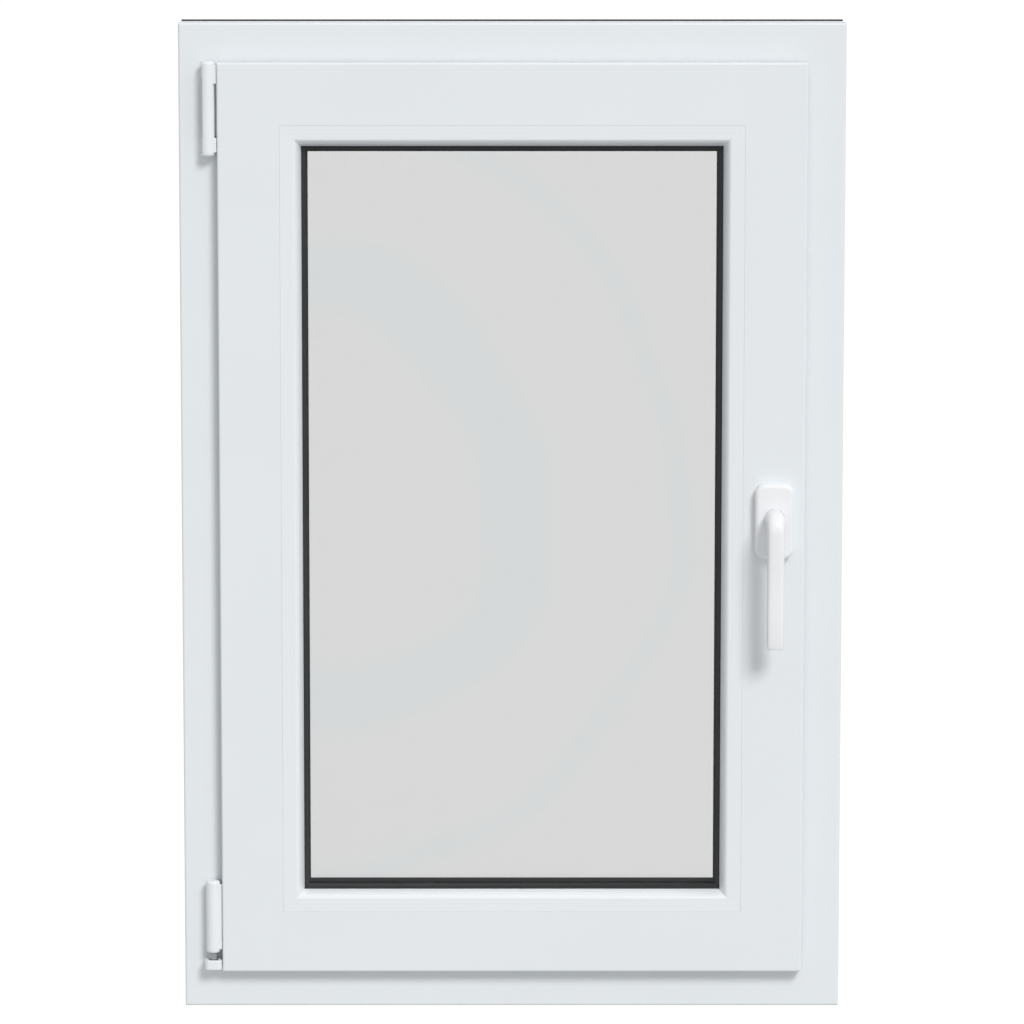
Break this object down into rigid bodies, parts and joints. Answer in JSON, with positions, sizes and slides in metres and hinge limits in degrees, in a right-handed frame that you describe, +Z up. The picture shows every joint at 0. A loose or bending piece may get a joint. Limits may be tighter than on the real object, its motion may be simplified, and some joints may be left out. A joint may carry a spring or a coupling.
{
  "type": "casement window",
  "caption": "White plastic single-sash window that opens inwards, tilting or turning, with double glazing, a lever handle and side hinges.",
  "frame": {"origin": "middle of the sill's underside", "axes": "+Z up along the height, +Y from the room to the outdoors, +X to the right as seen from the room, towards the handle"},
  "size_m": [0.6, 0.1207, 0.9014],
  "materials": {
    "upvc_frame": "extruded white uPVC, satin gloss",
    "upvc_sash": "extruded white uPVC, satin gloss",
    "upvc_bead": "extruded white uPVC, satin gloss",
    "hinge_cover_plastic": "moulded white cap, satin",
    "handle_coating": "white powder coat on die-cast zinc",
    "seal_rubber": "black EPDM extrusion, matt",
    "pane_glass": "clear float glass",
    "spacer_black": "black warm-edge spacer and sealant",
    "packer_plastic": "blue moulded packers",
    "galvanised_steel": "galvanised sheet steel",
    "zinc_plated_fittings": "zinc plated steel, satin",
    "bright_steel": "bright plated steel",
    "bush_plastic": "acetal bush"
  },
  "bodies": {
    "frame": {"frame_head": "upvc_frame", "frame_jamb_right": "upvc_frame", "frame_sill": "upvc_frame", "frame_jamb_left": "upvc_frame", "frame_reinforcement": "galvanised_steel", "frame_seal": "seal_rubber", "head_seal": "seal_rubber", "drainage_caps": "upvc_frame", "strike_plates": "zinc_plated_fittings", "strike_screws": "bright_steel", "corner_bearing": "zinc_plated_fittings", "corner_bearing_cover": "hinge_cover_plastic", "corner_tilt_pin": "bright_steel", "stay_bearing": "zinc_plated_fittings", "stay_pivot_pin": "bright_steel", "bearing_screws": "bright_steel"},
    "corner_pivot": {"corner_pivot": "bright_steel"},
    "sash": {"sash_top_rail": "upvc_sash", "sash_lock_stile": "upvc_sash", "sash_bottom_rail": "upvc_sash", "sash_hinge_stile": "upvc_sash", "sash_reinforcement": "galvanised_steel", "sash_seal": "seal_rubber", "bead_top": "upvc_bead", "bead_right": "upvc_bead", "bead_bottom": "upvc_bead", "bead_left": "upvc_bead", "inner_glazing_seal": "seal_rubber", "outer_glazing_seal": "seal_rubber", "inner_pane": "pane_glass", "outer_pane": "pane_glass", "spacer_bar": "spacer_black", "edge_sealant": "spacer_black", "glazing_packers": "packer_plastic", "hinge_strap": "zinc_plated_fittings", "hinge_strap_bush": "bush_plastic", "hinge_strap_cover": "hinge_cover_plastic", "hinge_strap_screws": "bright_steel", "stay_rail": "zinc_plated_fittings", "top_faceplate": "zinc_plated_fittings", "lock_faceplate": "zinc_plated_fittings", "bottom_faceplate": "zinc_plated_fittings", "faceplate_screws": "bright_steel", "gearbox_case": "zinc_plated_fittings", "corner_drives": "zinc_plated_fittings", "rosette_base": "zinc_plated_fittings", "rosette_cover": "handle_coating", "rosette_screws": "bright_steel"},
    "handle": {"handle_lever": "handle_coating", "handle_spindle": "bright_steel", "drive_pinion": "bright_steel"},
    "lock_rod": {"lock_rod": "zinc_plated_fittings", "lock_cams": "bright_steel"},
    "top_rod": {"top_rod": "zinc_plated_fittings"},
    "bottom_rod": {"bottom_rod": "zinc_plated_fittings"},
    "stay_bush": {"stay_bush": "bush_plastic"},
    "stay_arm": {"stay_arm": "zinc_plated_fittings", "stay_cover": "hinge_cover_plastic", "stay_slider": "bright_steel"}
  },
  "joints": [
    {"name": "sash_tilt", "type": "hinge", "parent": "frame", "child": "corner_pivot", "pos_m": [-0.2735, -0.0385, 0.041], "axis": [1, 0, 0], "range_deg": [0, 7]},
    {"name": "sash_turn", "type": "hinge", "parent": "corner_pivot", "child": "sash", "pos_m": [-0.2735, -0.0385, 0.041], "axis": [0, 0, -1], "range_deg": [0, 90]},
    {"name": "handle_turn", "type": "hinge", "parent": "sash", "child": "handle", "pos_m": [0.237, -0.0454, 0.455], "axis": [0, 1, 0], "range_deg": [0, 180]},
    {"name": "lock_rod_slide", "type": "slide", "parent": "sash", "child": "lock_rod", "axis": [0, 0, 1], "range_m": [0, 0.02021]},
    {"name": "top_rod_slide", "type": "slide", "parent": "sash", "child": "top_rod", "axis": [-1, 0, 0], "range_m": [0, 0.02021]},
    {"name": "bottom_rod_slide", "type": "slide", "parent": "sash", "child": "bottom_rod", "axis": [1, 0, 0], "range_m": [0, 0.02021]},
    {"name": "stay_turn", "type": "hinge", "parent": "frame", "child": "stay_bush", "pos_m": [-0.2735, -0.0385, 0.82], "axis": [0, 0, -1], "range_deg": [0, 90.1]},
    {"name": "stay_swing", "type": "hinge", "parent": "stay_bush", "child": "stay_arm", "pos_m": [-0.2735, -0.0385, 0.82], "axis": [0, 0, -1], "range_deg": [0, 19.9]}
  ],
  "couplings": [
    {"joint": "lock_rod_slide", "follows": "handle_turn", "m_per_rad": 0.0064},
    {"joint": "top_rod_slide", "follows": "handle_turn", "m_per_rad": 0.0064},
    {"joint": "bottom_rod_slide", "follows": "handle_turn", "m_per_rad": 0.0064},
    {"joint": "stay_turn", "follows": "sash_turn", "ratio": 1},
    {"joint": "stay_swing", "follows": "sash_tilt", "ratio": 2.83}
  ]
}
